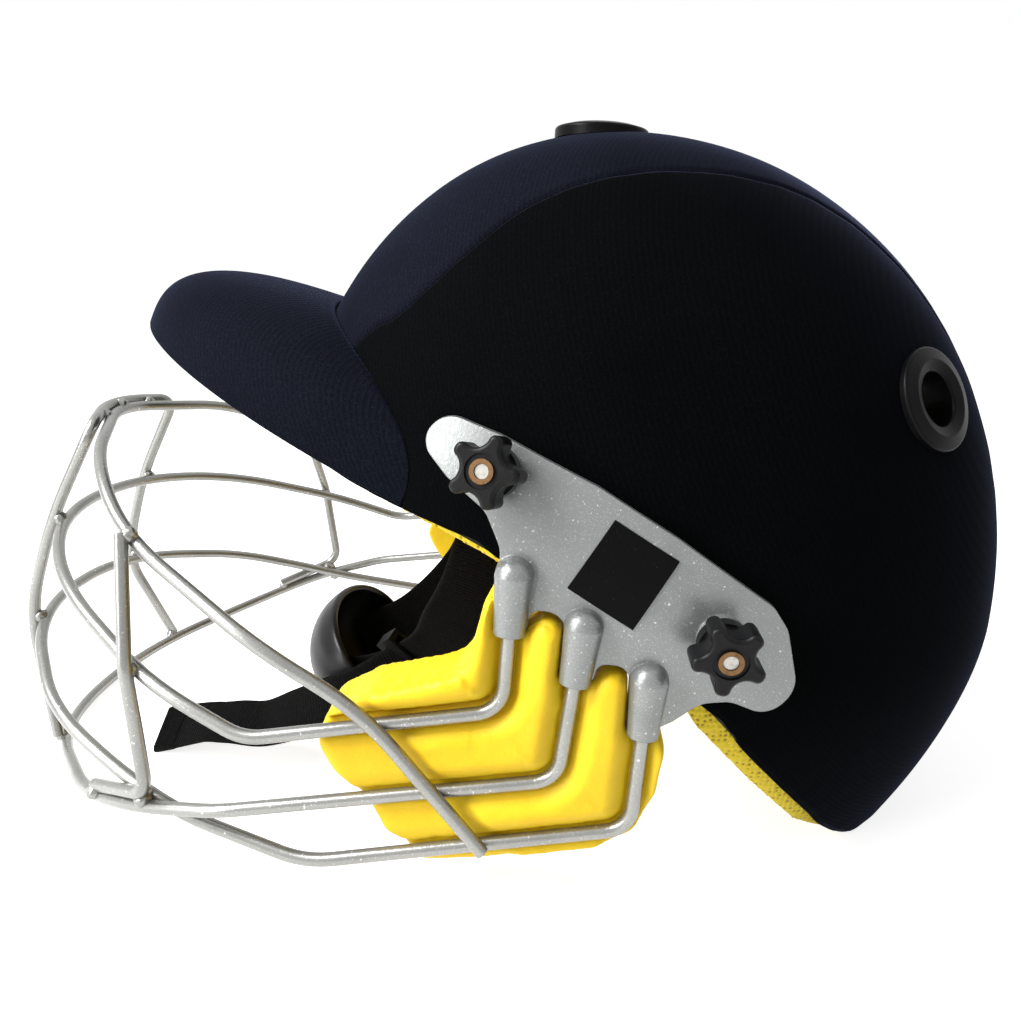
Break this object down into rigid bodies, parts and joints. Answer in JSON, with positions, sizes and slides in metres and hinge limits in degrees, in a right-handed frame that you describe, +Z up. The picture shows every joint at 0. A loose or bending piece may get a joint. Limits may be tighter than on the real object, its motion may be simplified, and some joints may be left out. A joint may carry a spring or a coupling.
{
  "type": "cricket helmet",
  "caption": "Cloth-covered batting helmet with a dome-shaped peak, a welded wire face grille on side plates with star knobs, foam guards and a chin strap with a cup.",
  "frame": {"origin": "centre of the helmet's bounding box on the table plane, under the nape rim and the lowest grille bar", "axes": "+X to the wearer's left, -Y the way the face looks, +Z up"},
  "size_m": [0.2354, 0.3708, 0.2409],
  "materials": {
    "shell_plastic": "moulded shell",
    "navy_cloth": "fine twill cloth",
    "liner_foam": "moulded yellow foam",
    "pad_cloth": "yellow mesh cloth on foam",
    "eyelet_plastic": "moulded, fine grain",
    "fixing_steel": "plated",
    "spacer_rubber": "matt",
    "plate_metal": "speckled silver",
    "label_film": "bare black film",
    "rod_steel": "satin silver",
    "guard_foam": "moulded yellow foam",
    "strap_webbing": "ribbed black webbing",
    "cup_rubber": "semi-gloss moulding",
    "knob_plastic": "moulded black",
    "bush_brass": "turned",
    "washer_rubber": "matt"
  },
  "bodies": {
    "helmet": {"hard_shell": "shell_plastic", "cover_crown": "navy_cloth", "cover_left": "navy_cloth", "cover_right": "navy_cloth", "foam_liner": "liner_foam", "brow_pad": "pad_cloth", "crown_pad": "pad_cloth", "nape_pad": "pad_cloth", "side_pad_left": "pad_cloth", "side_pad_right": "pad_cloth", "crown_eyelet": "eyelet_plastic", "rear_eyelet_left": "eyelet_plastic", "rear_eyelet_right": "eyelet_plastic", "eyelet_retainers": "eyelet_plastic", "peak_board": "shell_plastic", "peak_cover_top": "navy_cloth", "peak_cover_under": "navy_cloth", "grille_studs": "fixing_steel", "stud_spacers": "spacer_rubber", "strap_rivets": "fixing_steel"},
    "grille": {"side_plate_left": "plate_metal", "side_plate_right": "plate_metal", "label_left": "label_film", "label_right": "label_film", "grille_upper_bar": "rod_steel", "grille_lower_bar": "rod_steel", "grille_middle_bar": "rod_steel", "grille_top_bar": "rod_steel", "grille_centre_loop": "rod_steel", "grille_post_left": "rod_steel", "grille_post_right": "rod_steel", "chin_guard_left": "guard_foam", "chin_guard_right": "guard_foam"},
    "chin_straps": {"chin_strap_left": "strap_webbing", "chin_strap_right": "strap_webbing", "chin_cup": "cup_rubber", "strap_slider": "knob_plastic", "strap_tail": "strap_webbing"},
    "front_left_washer": {"front_washer_left": "washer_rubber"},
    "front_left_knob": {"front_knob_left": "knob_plastic", "front_bush_left": "bush_brass"},
    "front_right_washer": {"front_washer_right": "washer_rubber"},
    "front_right_knob": {"front_knob_right": "knob_plastic", "front_bush_right": "bush_brass"},
    "rear_left_washer": {"rear_washer_left": "washer_rubber"},
    "rear_left_knob": {"rear_knob_left": "knob_plastic", "rear_bush_left": "bush_brass"},
    "rear_right_washer": {"rear_washer_right": "washer_rubber"},
    "rear_right_knob": {"rear_knob_right": "knob_plastic", "rear_bush_right": "bush_brass"}
  },
  "joints": [
    {"name": "grille_tilt", "type": "hinge", "parent": "helmet", "child": "grille", "pos_m": [0, 0.06691, 0.0957], "axis": [1, 0, 0], "range_deg": [-3, 3]},
    {"name": "strap_swing", "type": "hinge", "parent": "helmet", "child": "chin_straps", "pos_m": [0, -0.00019, 0.116], "axis": [1, 0, 0], "range_deg": [-20, 40]},
    {"name": "front_left_back_off", "type": "slide", "parent": "helmet", "child": "front_left_washer", "axis": [0.95, -0.2297, 0.2115], "range_m": [0, 0.0021]},
    {"name": "front_left_unscrew", "type": "hinge", "parent": "front_left_washer", "child": "front_left_knob", "pos_m": [0.09432, 0.00123, 0.13707], "axis": [0.95, -0.2297, 0.2115], "range_deg": [0, 1080]},
    {"name": "front_right_back_off", "type": "slide", "parent": "helmet", "child": "front_right_washer", "axis": [-0.95, -0.2297, 0.2115], "range_m": [0, 0.0021]},
    {"name": "front_right_unscrew", "type": "hinge", "parent": "front_right_washer", "child": "front_right_knob", "pos_m": [-0.09432, 0.00123, 0.13707], "axis": [-0.95, -0.2297, 0.2115], "range_deg": [0, 1080]},
    {"name": "rear_left_back_off", "type": "slide", "parent": "helmet", "child": "rear_left_washer", "axis": [1, 0, 0], "range_m": [0, 0.0021]},
    {"name": "rear_left_unscrew", "type": "hinge", "parent": "rear_left_washer", "child": "rear_left_knob", "pos_m": [0.10395, 0.06691, 0.0957], "axis": [1, 0, 0], "range_deg": [0, 1080]},
    {"name": "rear_right_back_off", "type": "slide", "parent": "helmet", "child": "rear_right_washer", "axis": [-1, 0, 0], "range_m": [0, 0.0021]},
    {"name": "rear_right_unscrew", "type": "hinge", "parent": "rear_right_washer", "child": "rear_right_knob", "pos_m": [-0.10395, 0.06691, 0.0957], "axis": [-1, 0, 0], "range_deg": [0, 1080]}
  ],
  "couplings": [
    {"joint": "front_left_unscrew", "follows": "front_left_back_off", "rad_per_m": 8976},
    {"joint": "front_right_unscrew", "follows": "front_right_back_off", "rad_per_m": 8976},
    {"joint": "rear_left_unscrew", "follows": "rear_left_back_off", "rad_per_m": 8976},
    {"joint": "rear_right_unscrew", "follows": "rear_right_back_off", "rad_per_m": 8976}
  ]
}
